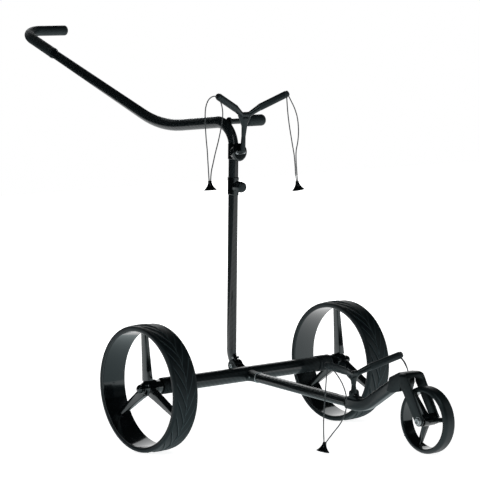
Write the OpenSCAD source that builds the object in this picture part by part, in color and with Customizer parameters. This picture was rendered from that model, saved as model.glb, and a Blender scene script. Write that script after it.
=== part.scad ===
/* [Wheels] */
// Outer diameter of a main wheel over its tyre
wheel_d = 290; // [280:1:300]
// Width of a main tyre
wheel_w = 65; // [55:1:70]
// Distance between the middle planes of the main wheels
track = 576; // [560:1:600]
// Outer diameter of the front wheel over its tyre
front_wheel_d = 144; // [138:1:150]
// Width of the front tyre
front_wheel_w = 31; // [27:1:33]
// Distance from the main axle to the front axle
wheelbase = 602; // [600:1:604]
// Number of spokes in each wheel
spoke_count = 3; // [3:1:5]

/* [Frame] */
// Outer diameter of the main axle tube
axle_tube_d = 35; // [33:1:37]
// Wall thickness of the carbon tubes
wall = 2; // [1.5:0.1:2.5]
// Forward lean of the mast in degrees
lean = 6.46; // [6:0.02:7]
// Fall of the centre tube towards the front in degrees
centre_fall = 7.43; // [7.2:0.01:7.6]
// Rise of the front arm in degrees
arm_rise = 27.9; // [27.5:0.1:28.3]

/* [Handle] */
// Height of the level run of the handle above the floor
run_z = 734.6; // [725:0.1:745]
// Length of the level run between the corners of its two bends
run_length = 281; // [270:1:290]
// Rise of the handle towards the grip in degrees
handle_rise = 25.2; // [24:0.1:27]
// Length of the sloping part up to the corner of the grip
slope_length = 646; // [630:1:660]
// Length of the sideways part of the grip from its corner
grip_reach = 142; // [135:1:150]
// Depth of the oval mast and handle tube, front to back
mast_depth = 28; // [27:0.5:29]
// Width of the oval mast and handle tube
mast_width = 19; // [18:0.5:20]

/* [Bag rests] */
// Diameter of a rubber sleeve on a rest arm
sleeve_d = 16.5; // [15:0.5:17]
// Half the span of the upper rest
upper_span = 99; // [95:1:102]
// Half the span of the lower rest
lower_span = 105; // [100:1:108]
// Diameter of an elastic cord
cord_d = 2.6; // [2.4:0.1:2.8]
// Diameter of a cord stop at its rim
stop_d = 29; // [26:1:31]

/* [Hidden] */
$fn = 64;

carbon = "#14181b";
black = "#1c2124";
rubber = "#23292b";
steel = "#b9c0c2";

gap = 0.3;          // clearance between pieces that move on each other
run_fit = 0.05;     // radial clearance of a turning shaft
axle_z = wheel_d / 2;
axle_r = axle_tube_d / 2;
front_z = front_wheel_d / 2;
deep = mast_depth / 2;
wide = mast_width / 2;

// Mast and handle, as [y, z] points measured from the floor under the main axle
top_bend = 56;
rear_bend = 350;
foot_bend = 50;
top_corner = [-7.6, run_z];
rear_corner = top_corner + [run_length, 0];
slope_dir = [cos(handle_rise), sin(handle_rise)];
mast_dir = [-sin(lean), cos(lean)];
grip_corner = rear_corner + slope_length * slope_dir;
grip_bend = 60;
grip_r = 13.3;
grip_start = slope_length - 161;
butt_z = 572;
clamp_z = 584;
rest_z = 664;
foot_tan = foot_bend * tan((90 + lean) / 2);
foot_corner = [top_corner[0] + (run_z - axle_z) * tan(lean), axle_z];
foot_top = foot_corner + foot_tan * mast_dir;
foot_centre = foot_top - foot_bend * [cos(lean), sin(lean)];
fold_angle = -39.5;
fold_pivot = foot_centre + foot_bend * [cos(fold_angle), sin(fold_angle)];
foot_spot = foot_centre + (foot_bend - 10) * [cos(-20), sin(-20)];
slide_overlap = 90;

// The row's origin lies on the floor under the middle of the footprint
front_reach = wheelbase + front_z;
rear_reach = grip_corner[0] + grip_r;
axle_y = (front_reach - rear_reach) / 2;

// Centre tube and front arm, as [y, z] points
tube_start = [-45.5, 137.1];
arm_corner = [-406.6, 90];
joint_y = -352;
fall_dir = [-cos(centre_fall), -sin(centre_fall)];
rise_dir = [-cos(arm_rise), sin(arm_rise)];
joint_point = tube_start + (tube_start[0] - joint_y) / cos(centre_fall) * fall_dir;
arm_end = arm_corner + 118 * rise_dir;
arm_bend = 90;
tube_h = 11;
tube_w = 14;
arm_h = 13.5;
arm_w = 11.5;

// Hub and fork stations along X
hub_x = track / 2;
hub_r = 20;
boss_r = 16;
bore_r = 14;
shaft_r = 6;
button_r = 10.4;
button_travel = 4;
sleeve_x0 = 213;
sleeve_x1 = 252.5;
bolt_r = 4;
leg_in = 20.8;
leg_out = 26.3;

// Bag rests, as [x, y, z] points from the floor under the main axle
upper_pin = [-33.5, rest_z];
upper_join = [0, -49, 747];
upper_end = [upper_span, -83, 789];
lower_pin = [-372, 119];
lower_join = [0, -374, 161];
lower_end = [lower_span, -413, 192];
arm_core = 5.2;
tongue = 5;

// Elastic cord routes, each from its arm end to its stop, as [x, y, z] points
upper_right_outer = [
  [-104, -84, 790], [-117, -84, 791], [-130, -84, 784], [-139, -84, 769], [-143, -84, 748],
  [-144, -84, 723], [-144, -84, 697], [-143, -84, 671], [-143, -84, 645], [-143, -84, 620],
  [-143, -84, 600]
];
upper_right_inner = [
  [-100, -84, 784], [-94, -84, 772], [-92, -84, 752], [-96, -84, 730], [-103, -84, 708],
  [-111, -84, 686], [-120, -84, 664], [-128, -84, 642], [-135, -84, 622], [-139, -84, 600]
];
upper_left_outer = [
  [104, -84, 788], [113, -84, 772], [122, -84, 755], [128, -84, 736], [130, -84, 716],
  [129, -84, 696], [125, -84, 676], [119, -84, 657], [117, -84, 636], [117, -84, 610],
  [118, -84, 585]
];
upper_left_inner = [
  [100, -84, 783], [100, -84, 760], [101, -84, 737], [103, -84, 714], [106, -84, 691],
  [109, -84, 669], [112, -84, 648], [113, -84, 624], [113, -84, 604], [114, -84, 585]
];
lower_right_outer = [
  [-108, -413, 186], [-111, -411, 165], [-113, -409, 143], [-115, -407, 120], [-117, -405, 98],
  [-119, -403, 74], [-120, -402, 50], [-120, -401, 25]
];
lower_right_inner = [
  [-104, -416, 187], [-95, -422, 177], [-87, -430, 158], [-83, -437, 137], [-83, -441, 116],
  [-87, -440, 92], [-95, -432, 68], [-106, -417, 46], [-116, -402, 25]
];
lower_left_outer = [
  [108, -415, 186], [111, -422, 176], [112, -428, 162], [113, -431, 141], [113, -432, 118],
  [113, -432, 95], [112, -431, 72], [111, -430, 52], [111, -429, 33]
];
lower_left_inner = [
  [104, -417, 187], [104, -428, 176], [105, -437, 159], [106, -441, 138], [107, -444, 116],
  [108, -443, 94], [108, -438, 72], [107, -432, 52], [107, -429, 33]
];
stop_h = 21;

// A superellipse: 2 is an oval and 4 a box with round corners
function oval_points(a, b, power, count = 28) = [
  for (i = [0 : count - 1])
    let (c = cos(360 * i / count), s = sin(360 * i / count))
      [b * sign(c) * pow(abs(c), 2 / power), a * sign(s) * pow(abs(s), 2 / power)]
];

function heading(p, i) = (p[i + 1] - p[i]) / norm(p[i + 1] - p[i]);
function turn_at(p, i) = acos(heading(p, i - 1) * heading(p, i));
function trim(p, r, i) = (i == 0 || i == len(p) - 1) ? 0 : r[i] * tan(turn_at(p, i) / 2);
function mast_y(z) = top_corner[0] + (run_z - z) * tan(lean);

module at_axle() { translate([0, axle_y, 0]) children(); }
module at_yz(p) { translate([0, p[0], p[1]]) children(); }
module along(p, d) { at_yz(p) rotate([atan2(-d[0], d[1]), 0, 0]) children(); }
module on_mast(z) { translate([0, mast_y(z), z]) rotate([lean, 0, 0]) children(); }
module plate(x0, x1) { translate([x0, 0, 0]) rotate([90, 0, 90]) linear_extrude(x1 - x0) children(); }
module rod_x(r, x0, x1) { translate([x0, 0, 0]) rotate([0, 90, 0]) cylinder(r = r, h = x1 - x0); }
module both_sides() { for (s = [0, 1]) mirror([s, 0, 0]) children(); }

module rod_between(p, q, r, r2) {
  d = q - p;
  translate(p) rotate([0, acos(d[2] / norm(d)), atan2(d[1], d[0])])
    cylinder(r1 = r, r2 = is_undef(r2) ? r : r2, h = norm(d));
}

module section(a, b, power = 2, hollow = true) {
  difference() {
    polygon(oval_points(a, b, power));
    if (hollow) polygon(oval_points(a - wall, b - wall, power));
  }
}

// Sweeps a section along corner points [y, z], with a bend radius at each corner
module bent_bar(p, r) {
  for (i = [0 : len(p) - 2]) {
    h = heading(p, i);
    start = p[i] + trim(p, r, i) * h;
    stop = p[i + 1] - trim(p, r, i + 1) * h;
    along(start, h) linear_extrude(norm(stop - start)) children();
  }
  for (i = [1 : 1 : len(p) - 2]) {
    h = heading(p, i - 1);
    s = sign(cross(h, heading(p, i)));
    n = s * [-h[1], h[0]];
    first = atan2(-n[1], -n[0]) - (s > 0 ? 0 : turn_at(p, i));
    at_yz(p[i] - trim(p, r, i) * h + r[i] * n) rotate([0, 90, 0]) rotate([0, 0, first + 90])
      rotate_extrude(angle = turn_at(p, i), $fn = 180) translate([r[i], 0]) rotate(90) children();
  }
}

// Part of a ring about X: radii, polar angles in the YZ plane and half thickness
module ring_sector(c, r0, r1, from, to, half) {
  at_yz(c) rotate([0, 90, 0]) rotate([0, 0, from + 90])
    rotate_extrude(angle = to - from) translate([r0, -half]) square([r1 - r0, 2 * half]);
}

// A round bar from the origin up, with its far edge rounded
module round_end_bar(r, h, f, steps = 6) {
  rotate_extrude() polygon(concat(
    [[0, 0], [r, 0]],
    [for (i = [0 : steps]) [r - f + f * cos(90 * i / steps), h - f + f * sin(90 * i / steps)]],
    [[0, h]]
  ));
}

// A screw whose head stands on the XY plane and whose shank points down
module screw(head_r, head_h, shank_r, length) {
  difference() {
    round_end_bar(head_r, head_h, head_h / 3, 3);
    translate([0, 0, head_h * 0.4]) cylinder(r = head_r * 0.5, h = head_h, $fn = 6);
  }
  translate([0, 0, -length]) cylinder(r = shank_r, h = length);
}

// ---------- chassis ----------

module axle_tube() color(carbon) at_axle() at_yz([0, axle_z]) difference() {
  rod_x(axle_r, -sleeve_x0, sleeve_x0);
  rod_x(axle_r - wall, -sleeve_x0 - 1, sleeve_x0 + 1);
}

module axle_sleeve() {
  rib_count = 5;
  rib_pitch = 6;
  difference() {
    union() {
      rod_x(axle_r - wall - 0.1, sleeve_x0 - 35, sleeve_x0);
      rod_x(17.6, sleeve_x0, sleeve_x1);
      rod_x(19, sleeve_x0, sleeve_x0 + 6);
      for (i = [0 : rib_count - 1]) rod_x(19, sleeve_x0 + 9 + i * rib_pitch, sleeve_x0 + 12.5 + i * rib_pitch);
    }
    rod_x(shaft_r, sleeve_x0 - 36, sleeve_x1 + 1);
  }
}

module left_axle_sleeve() color(black) at_axle() at_yz([0, axle_z]) axle_sleeve();
module right_axle_sleeve() color(black) at_axle() at_yz([0, axle_z]) mirror([1, 0, 0]) axle_sleeve();

module stub_axle() {
  groove_x = 289;
  difference() {
    rod_x(shaft_r, sleeve_x0 - 30, 295.5);
    difference() {
      rod_x(shaft_r + 1, groove_x, groove_x + 3);
      rod_x(shaft_r - 1, groove_x - 1, groove_x + 4);
    }
  }
}

module left_stub_axle() color(steel) at_axle() at_yz([0, axle_z]) stub_axle();
module right_stub_axle() color(steel) at_axle() at_yz([0, axle_z]) mirror([1, 0, 0]) stub_axle();

module tee_socket() color(black) at_axle() {
  difference() {
    along([-8, 142], fall_dir) linear_extrude(35.5) polygon(oval_points(tube_h + 1, tube_w + 1, 2.4));
    at_yz([0, axle_z]) rod_x(axle_r, -20, 20);
    at_yz([-27, 139.5]) rod_x(1.2, -20, -11.5);
  }
  along(tube_start - 4 * fall_dir, fall_dir) linear_extrude(34)
    polygon(oval_points(tube_h - wall, tube_w - wall, 2.4));
}

module tee_ring() color(steel) at_axle() along(tube_start - 2.3 * fall_dir, fall_dir) difference() {
  linear_extrude(2.3) polygon(oval_points(tube_h + 1.2, tube_w + 1.2, 2.4));
  translate([0, 0, -1]) linear_extrude(4.3) polygon(oval_points(tube_h - wall, tube_w - wall, 2.4));
}

module tee_screw() color(steel) at_axle()
  translate([-tube_w - 1, -27, 139.5]) rotate([0, -90, 0]) screw(2.4, 1.4, 1.2, 3);

module centre_tube() color(carbon) at_axle() along(tube_start, fall_dir) difference() {
  linear_extrude(norm(joint_point - tube_start)) polygon(oval_points(tube_h, tube_w, 2.4));
  translate([0, 0, -1]) linear_extrude(norm(joint_point - tube_start) + 2)
    polygon(oval_points(tube_h - wall, tube_w - wall, 2.4));
}

module front_arm() color(carbon) at_axle() {
  bent_bar([joint_point + 5 * fall_dir, arm_corner, arm_end], [0, arm_bend, 0]) section(arm_h, arm_w, 3.2);
  along(joint_point, fall_dir) linear_extrude(5) polygon(oval_points(arm_h, arm_w, 3.2));
  along(joint_point - 25 * fall_dir, fall_dir) linear_extrude(27)
    polygon(oval_points(tube_h - wall - 0.1, arm_w - wall - 0.1, 2.4));
}

module arm_head() color(black) at_axle() difference() {
  plate(-21.5, 21.5) polygon([
    [-549, 173.5], [-544, 173.5], [-512, 161.5], [-500, 130], [-516, 127], [-541, 132], [-549, 148]
  ]);
  along(arm_end - 60 * rise_dir, rise_dir) linear_extrude(60) polygon(oval_points(arm_h, arm_w, 3.2));
}

module arch(half, top, r) {
  translate([-half, 0]) square([2 * half, top - r]);
  translate([r - half, 0]) square([2 * (half - r), top]);
  for (s = [-1, 1]) translate([s * (half - r), top - r]) circle(r = r);
}

module front_fork() color(black) at_axle() difference() {
  intersection() {
    translate([0, -540, 0]) rotate([90, 0, 0]) linear_extrude(90) difference() {
      arch(leg_out, 173.5, 9);
      translate([0, -1]) arch(leg_in, 162, 7);
    }
    plate(-leg_out - 1, leg_out + 1) {
      polygon([[-549, 174], [-564, 174], [-571, 168], [-613, 72], [-591, 76], [-549, 150]]);
      translate([-wheelbase, front_z]) circle(r = 11.5);
    }
  }
  at_yz([-wheelbase, front_z]) rod_x(bolt_r, -leg_out - 2, leg_out + 2);
}

module front_axle_bolt() color(steel) at_axle() at_yz([-wheelbase, front_z]) {
  head = leg_out + 5;
  rod_x(bolt_r, -leg_out - 1, leg_out + 1);
  both_sides() difference() {
    translate([leg_out, 0, 0]) rotate([0, 90, 0]) round_end_bar(8.2, head - leg_out, 1.6, 3);
    translate([head - 2, 0, 0]) rotate([0, 90, 0]) cylinder(r = 4, h = 3, $fn = 6);
  }
}

module front_spacers() color(steel) at_axle() at_yz([-wheelbase, front_z]) both_sides() difference() {
  rod_x(6.5, 17.3, leg_in);
  rod_x(bolt_r, 17, leg_in + 1);
}

module foot_bracket() color(black) at_axle() difference() {
  union() {
    ring_sector(foot_centre, foot_bend - 13.5, foot_bend + 13.5, -90, -68, 12.4);
    both_sides() {
      translate([10, 0, 0]) ring_sector(foot_centre, foot_bend - 12.5, foot_bend + 12.5, -70, fold_angle, 2);
      at_yz(fold_pivot) rod_x(14, 8.1, 11.8);
    }
  }
  at_yz([0, axle_z]) rod_x(axle_r, -20, 20);
  at_yz(fold_pivot) rod_x(3, -20, 20);
}

module fold_bolt() color(steel) at_axle() at_yz(fold_pivot) {
  rod_x(3, -12.5, 12.5);
  both_sides() difference() {
    translate([12, 0, 0]) rotate([0, 90, 0]) round_end_bar(5, 3, 1, 3);
    translate([13.6, 0, 0]) rotate([0, 90, 0]) cylinder(r = 2.4, h = 3, $fn = 6);
  }
}

module lower_rest_base() color(black) at_axle() difference() {
  union() {
    translate([0, lower_pin[0], 0]) {
      both_sides() translate([tongue + gap, -6.5, 105]) cube([4.7, 13, lower_pin[1] - 105]);
      translate([-10, -24, 95]) cube([20, 38, 16.5]);
    }
    at_yz(lower_pin) both_sides() rod_x(6.5, tongue + gap, 10);
  }
  bent_bar([joint_point, arm_corner, arm_end], [0, arm_bend, 0]) section(arm_h, arm_w, 3.2, false);
  at_yz(lower_pin) rod_x(2.5, -20, 20);
}

module hinge_pin(r, half) {
  rod_x(r, -half, half);
  both_sides() translate([half, 0, 0]) rotate([0, 90, 0]) round_end_bar(r + 1.2, 1.6, 0.6, 3);
}

module lower_rest_pin() color(steel) at_axle() at_yz(lower_pin) hinge_pin(2.5, 10);

// ---------- mast ----------

module mast_foot() color(black) at_axle() difference() {
  union() {
    ring_sector(foot_centre, foot_bend - 14.5, foot_bend + 11.5, fold_angle, lean, 8 - gap);
    at_yz(fold_pivot) rod_x(11, -7.5, 7.5);
    along(foot_top - mast_dir, mast_dir) linear_extrude(41) polygon(oval_points(11, 7, 2));
  }
  at_yz(fold_pivot) rod_x(3 + run_fit, -20, 20);
  at_yz(foot_spot) both_sides() rod_x(1.8, 3.4, 9);
}

module foot_screw() color(steel) at_axle() at_yz(foot_spot)
  both_sides() translate([8 - gap, 0, 0]) rotate([0, 90, 0]) screw(3.2, 2, 1.8, 4);

module mast_tube() color(carbon) at_axle() {
  length = (butt_z - foot_top[1]) / cos(lean);
  along(foot_top, mast_dir) difference() {
    linear_extrude(length) polygon(oval_points(deep, wide, 2));
    translate([0, 0, -1]) linear_extrude(length + 2) polygon(oval_points(deep - wall, wide - wall, 2));
  }
}

module mast_clamp() color(black) at_axle() on_mast(clamp_z) {
  flange_r = 22.3;
  drop = (clamp_z - butt_z) / cos(lean);
  difference() {
    union() {
      intersection() {
        translate([0, 0, -30]) linear_extrude(60) polygon(oval_points(deep + 4, wide + 4, 2));
        rotate([90, 0, 0]) cylinder(r = flange_r, h = 60, center = true);
      }
      rotate([90, 0, 0]) cylinder(r = 10, h = 20);
    }
    translate([0, 0, -40]) linear_extrude(80) polygon(oval_points(deep, wide, 2));
    translate([0, 0, -drop]) linear_extrude(60) polygon(oval_points(deep + gap, wide + gap, 2));
    rotate([90, 0, 0]) cylinder(r = bolt_r + run_fit, h = 60);
  }
}

module lock_knob() color(black) at_axle() on_mast(clamp_z) rotate([90, 0, 0]) {
  translate([0, 0, 20 + gap]) round_end_bar(12.7, 17.2, 5);
  translate([0, 0, deep + 2 * gap]) cylinder(r = bolt_r, h = 8);
}

// ---------- handle ----------

module taper(s0, s1, a0, b0, a1, b1) hull() {
  along(rear_corner + s0 * slope_dir, slope_dir) linear_extrude(0.05) polygon(oval_points(a0, b0, 2));
  along(rear_corner + (s1 - 0.05) * slope_dir, slope_dir) linear_extrude(0.05) polygon(oval_points(a1, b1, 2));
}

// A round bar through the grip, from s0 on the slope to x1 at its sideways end
module grip_bar(r, s0, x1) {
  along(grip_corner, slope_dir) {
    translate([0, 0, s0 - slope_length]) cylinder(r = r, h = slope_length - s0 - grip_bend);
    translate([grip_bend, 0, -grip_bend]) rotate([90, 0, 0]) rotate([0, 0, 90])
      rotate_extrude(angle = 90) translate([grip_bend, 0]) circle(r = r);
    rod_x(r, grip_bend, x1);
  }
}

module handle_tube() color(carbon) at_axle() {
  low = [mast_y(butt_z), butt_z] + gap * mast_dir;
  path = [low, top_corner, rear_corner, rear_corner + 85 * slope_dir];
  bent_bar(path, [0, top_bend, rear_bend, 0]) section(deep, wide);
}

module handle_slope() color(carbon) at_axle() {
  thin = 11.4;
  difference() {
    taper(85, grip_start + 6, deep, wide, thin, thin);
    taper(84.9, grip_start + 6.1, deep - wall, wide - wall, thin - wall, thin - wall);
  }
}

module grip_core() color(steel) at_axle() difference() {
  grip_bar(10.5, grip_start + 6, grip_reach - 8);
  grip_bar(9, grip_start + 5, grip_reach - 7);
}

module spigot() color(steel) at_axle() {
  low = [mast_y(butt_z), butt_z] - slide_overlap * mast_dir;
  along(low, mast_dir) {
    linear_extrude(slide_overlap + 2 * gap) polygon(oval_points(deep - wall - 0.5, wide - wall - 0.5, 2));
    translate([0, 0, slide_overlap + gap]) linear_extrude(30) polygon(oval_points(deep - wall - 0.1, wide - wall - 0.1, 2));
  }
}

module grip() color(rubber) at_axle() {
  lip = 8;
  difference() {
    union() {
      grip_bar(grip_r, grip_start, grip_reach - 12);
      along(grip_corner, slope_dir) {
        translate([0, 0, grip_start - slope_length]) cylinder(r = grip_r + 0.7, h = lip);
        translate([grip_reach - 12, 0, 0]) rotate([0, 90, 0]) round_end_bar(grip_r, 12, 5);
      }
    }
    grip_bar(10.5, grip_start + 6, grip_reach - 8);
    along(rear_corner + (grip_start - 1) * slope_dir, slope_dir) cylinder(r = 11.45, h = 7);
  }
}

module rest_clamp() color(black) at_axle() difference() {
  union() {
    on_mast(rest_z) {
      translate([0, 0, -19]) linear_extrude(38) polygon(oval_points(deep + 3.5, wide + 3.5, 2));
      translate([-12, -20, -15]) cube([24, 12, 30]);
      translate([0, -19, 0]) rotate([90, 0, 0]) round_end_bar(21, 6, 2.5, 4);
    }
    at_yz(upper_pin) both_sides() rod_x(6, tongue + gap, 7.2);
    translate([0, upper_pin[0], upper_pin[1] - 6]) both_sides() translate([tongue + gap, 0, 0]) cube([1.9, 12, 12]);
  }
  bent_bar([top_corner - 130 * mast_dir, top_corner, rear_corner], [0, top_bend, 0])
    section(deep + 0.1, wide + 0.1, 2, false);
  on_mast(rest_z) both_sides() translate([10.5, -15, 0]) rotate([90, 0, 0]) cylinder(r = 2, h = 20);
  at_yz(upper_pin) rod_x(2, -20, 20);
}

module rest_clamp_screws() color(steel) at_axle() on_mast(rest_z)
  both_sides() translate([10.5, -25, 0]) rotate([90, 0, 0]) screw(3.2, 2, 2, 9);

module upper_rest_pin() color(steel) at_axle() at_yz(upper_pin) rod_x(2, -7.2, 7.2);

module accessory_peg() color(black) at_axle() difference() {
  at_yz([22, run_z - 0.5]) {
    rod_x(6.5, wide - 1.6, 60);
    rod_x(10.5, wide - 1.6, wide + 3);
    rod_x(5, 60, 105);
  }
  bent_bar([top_corner - 80 * mast_dir, top_corner, rear_corner], [0, top_bend, 0])
    section(deep + 0.1, wide + 0.1, 2, false);
}

module peg_sleeve() color(rubber) at_axle() at_yz([22, run_z - 0.5]) difference() {
  translate([60, 0, 0]) rotate([0, 90, 0]) round_end_bar(13.5, 54, 8);
  rod_x(5, 59, 105);
}

// ---------- bag rests ----------

// A Y-shaped rest for its right half: stem, arms and the tongue on its pin
module rest_frame(pin, join, end, tongue_r, pin_r) {
  sleeve_from = join + (end - join) * 0.32;
  difference() {
    union() {
      hull($fn = 32) {
        at_yz(pin) rod_x(tongue_r, -tongue, tongue);
        translate(join) sphere(r = 6);
      }
      both_sides() {
        hull($fn = 32) {
          translate(join - [0, 0, 4]) sphere(r = 6.5);
          translate(sleeve_from) sphere(r = 6.2);
        }
        rod_between(sleeve_from, end, arm_core);
      }
    }
    at_yz(pin) rod_x(pin_r + run_fit, -20, 20);
  }
}

module arm_sleeve(join, end) {
  u = (end - join) / norm(end - join);
  start = join + (end - join) * 0.32 + 6 * u;
  difference() {
    rod_between(start, end + 1 * u, sleeve_d / 2);
    rod_between(start - 2 * u, end, arm_core);
  }
}

module cord_ends(join, end) {
  u = (end - join) / norm(end - join);
  both_sides() {
    rod_between(end + 1 * u, end + 6 * u, 6, 4.6);
  }
}

module upper_rest() color(black) at_axle() rest_frame(upper_pin, upper_join, upper_end, 6, 2);
module upper_sleeve_left() color(rubber) at_axle() arm_sleeve(upper_join, upper_end);
module upper_sleeve_right() color(rubber) at_axle() mirror([1, 0, 0]) arm_sleeve(upper_join, upper_end);
module upper_cord_ends() color(black) at_axle() cord_ends(upper_join, upper_end);
module lower_rest() color(black) at_axle() rest_frame(lower_pin, lower_join, lower_end, 6.5, 2.5);
module lower_sleeve_left() color(rubber) at_axle() arm_sleeve(lower_join, lower_end);
module lower_sleeve_right() color(rubber) at_axle() mirror([1, 0, 0]) arm_sleeve(lower_join, lower_end);
module lower_cord_ends() color(black) at_axle() cord_ends(lower_join, lower_end);

function tangent(p, i) = let (a = p[max(i - 1, 0)], b = p[min(i + 1, len(p) - 1)]) (b - a) / norm(b - a);
function ring_at(p, i, r, sides) =
  let (t = tangent(p, i), c = cross(t, [0, 1, 0]), u = c / norm(c), v = cross(t, u))
    [for (k = [0 : sides - 1]) p[i] + r * (cos(360 * k / sides) * u + sin(360 * k / sides) * v)];

module strand(p, r = cord_d / 2, sides = 8) {
  last = (len(p) - 1) * sides;
  polyhedron(
    [for (i = [0 : len(p) - 1]) each ring_at(p, i, r, sides)],
    concat(
      [[for (k = [0 : sides - 1]) k]],
      [for (i = [0 : len(p) - 2]) for (k = [0 : sides - 1])
        let (a = i * sides + k, b = i * sides + (k + 1) % sides) [a, a + sides, b + sides, b]],
      [[for (k = [sides - 1 : -1 : 0]) last + k]]
    )
  );
}

module upper_cords_right() color(rubber) at_axle() { strand(upper_right_outer); strand(upper_right_inner); }
module upper_cords_left() color(rubber) at_axle() { strand(upper_left_outer); strand(upper_left_inner); }
module lower_cords_right() color(rubber) at_axle() { strand(lower_right_outer); strand(lower_right_inner); }
module lower_cords_left() color(rubber) at_axle() { strand(lower_left_outer); strand(lower_left_inner); }

// A trumpet-shaped stop, with the middle of its top at the origin
module cord_stop() {
  steps = 8;
  top_r = 4.2;
  rotate_extrude() polygon(concat(
    [[0, -stop_h], [stop_d / 2, -stop_h]],
    [for (i = [steps : -1 : 0])
      [top_r + (stop_d / 2 - top_r) * pow(i / steps, 2), -(stop_h - 1.5) * i / steps]],
    [[0, 0]]
  ));
}

module stop_at(outer, inner, tilt) {
  middle = (outer[len(outer) - 1] + inner[len(inner) - 1]) / 2;
  translate(middle + [0, 0, 1]) rotate(tilt) cord_stop();
}

module upper_stop_right() color(black) at_axle() stop_at(upper_right_outer, upper_right_inner, [0, 0, 0]);
module upper_stop_left() color(black) at_axle() stop_at(upper_left_outer, upper_left_inner, [0, -7, 0]);
module lower_stop_right() color(black) at_axle() stop_at(lower_right_outer, lower_right_inner, [8, 14, 0]);
module lower_stop_left() color(black) at_axle() stop_at(lower_left_outer, lower_left_inner, [0, 0, 0]);

// ---------- wheels ----------

module turned(x) { translate([x, 0, 0]) rotate([0, 90, 0]) rotate_extrude($fn = 96) children(); }

module spokes(r0, r1, w0, w1, half, first) {
  for (i = [0 : spoke_count - 1]) rotate([first + i * 360 / spoke_count, 0, 0])
    plate(-half, half) polygon([[r0, -w0 / 2], [r1, -w1 / 2], [r1, w1 / 2], [r0, w0 / 2]]);
}

// A main wheel about the X axis, with its outer side towards +X
module main_wheel() {
  rim_r = wheel_d / 2 - 13;
  rim_half = wheel_w / 2 - 1.5;
  turned(0) polygon([
    [rim_r, -rim_half], [rim_r + 5, -rim_half], [rim_r + 5, rim_half], [rim_r, rim_half]
  ]);
  difference() {
    union() {
      rod_x(hub_r, -18, 10);
      rod_x(boss_r, -34, -18);
      rod_x(13.6, 10, 16);
      spokes(hub_r - 6, rim_r + 2, 24, 14, 6, 90);
    }
    rod_x(bore_r, -35, -26);
    rod_x(8, -30, 4);
    rod_x(bore_r, -4, 4);
    rod_x(button_r + gap, 8, 20);
    rod_x(7, 3, 9);
  }
}

module main_bearings() {
  difference() {
    rod_x(bore_r, -34, -26);
    rod_x(shaft_r + run_fit, -35, -25);
  }
  difference() {
    rod_x(bore_r, -4, 4);
    rod_x(shaft_r + run_fit, -5, 5);
  }
}

module main_tyre() {
  seat = wheel_d / 2 - 8;
  half = wheel_w / 2;
  edge = wheel_d / 2 - 2;
  turned(0) polygon([
    [seat, 1.5 - half], [seat - 4, 1.5 - half], [seat - 4, -half], [edge - 2, -half], [edge, 2 - half],
    [edge + 2, -half * 0.3], [edge + 2, half * 0.3],
    [edge, half - 2], [edge - 2, half], [seat - 4, half], [seat - 4, half - 1.5], [seat, half - 1.5]
  ]);
}

module release_button() {
  rod_x(button_r, 12.5, 20);
  difference() {
    translate([20, 0, 0]) sphere(r = button_r);
    rod_x(button_r + 1, 0, 20);
  }
}

module at_left() { at_axle() translate([hub_x, 0, axle_z]) children(); }
module at_right() { at_axle() translate([-hub_x, 0, axle_z]) mirror([1, 0, 0]) children(); }

module left_wheel() color(black) at_left() main_wheel();
module right_wheel() color(black) at_right() main_wheel();
module left_tyre() color(rubber) at_left() main_tyre();
module right_tyre() color(rubber) at_right() main_tyre();
module left_bearings() color(steel) at_left() main_bearings();
module right_bearings() color(steel) at_right() main_bearings();
module left_button() color(black) at_left() release_button();
module right_button() color(black) at_right() release_button();

module front_wheel() color(black) at_axle() at_yz([-wheelbase, front_z]) {
  rim_r = front_z - 11;
  half = front_wheel_w / 2 - 2;
  turned(0) polygon([[rim_r, -half], [rim_r + 3.5, -half], [rim_r + 3.5, half], [rim_r, half]]);
  difference() {
    union() {
      rod_x(13, -17, 17);
      spokes(9, rim_r + 1, 13, 9, 4, 57);
    }
    rod_x(6, -18, 18);
    both_sides() rod_x(9.5, 11, 18);
  }
}

module front_tyre() color(rubber) at_axle() at_yz([-wheelbase, front_z]) {
  seat = front_z - 7.5;
  half = front_wheel_w / 2;
  round_r = 7;
  steps = 5;
  shoulder = [for (i = [0 : steps]) [front_z - round_r + round_r * cos(90 * i / steps),
    half - round_r + round_r * sin(90 * i / steps)]];
  turned(0) polygon(concat(
    shoulder,
    [[seat - 3, half], [seat - 3, half - 2], [seat, half - 2], [seat, 2 - half], [seat - 3, 2 - half], [seat - 3, -half]],
    [for (i = [steps : -1 : 0]) [shoulder[i][0], -shoulder[i][1]]]
  ));
}

module front_bearings() color(steel) at_axle() at_yz([-wheelbase, front_z]) both_sides() difference() {
  rod_x(9.5, 11, 17);
  rod_x(bolt_r + run_fit, 10, 18);
}

axle_tube();
tee_socket();
tee_ring();
tee_screw();
centre_tube();
front_arm();
arm_head();
front_fork();
front_axle_bolt();
front_spacers();
foot_bracket();
fold_bolt();
right_axle_sleeve();
left_axle_sleeve();
right_stub_axle();
left_stub_axle();
lower_rest_base();
lower_rest_pin();
mast_foot();
foot_screw();
mast_tube();
mast_clamp();
lock_knob();
handle_tube();
handle_slope();
grip_core();
spigot();
grip();
rest_clamp();
rest_clamp_screws();
upper_rest_pin();
accessory_peg();
peg_sleeve();
upper_rest();
upper_sleeve_right();
upper_sleeve_left();
upper_cord_ends();
upper_cords_right();
upper_cords_left();
upper_stop_right();
upper_stop_left();
lower_rest();
lower_sleeve_right();
lower_sleeve_left();
lower_cord_ends();
lower_cords_right();
lower_cords_left();
lower_stop_right();
lower_stop_left();
right_wheel();
right_tyre();
right_bearings();
right_button();
left_wheel();
left_tyre();
left_bearings();
left_button();
front_wheel();
front_tyre();
front_bearings();
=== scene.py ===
import math
import bmesh
import bpy
import numpy as np
from mathutils import Matrix, Vector


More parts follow.
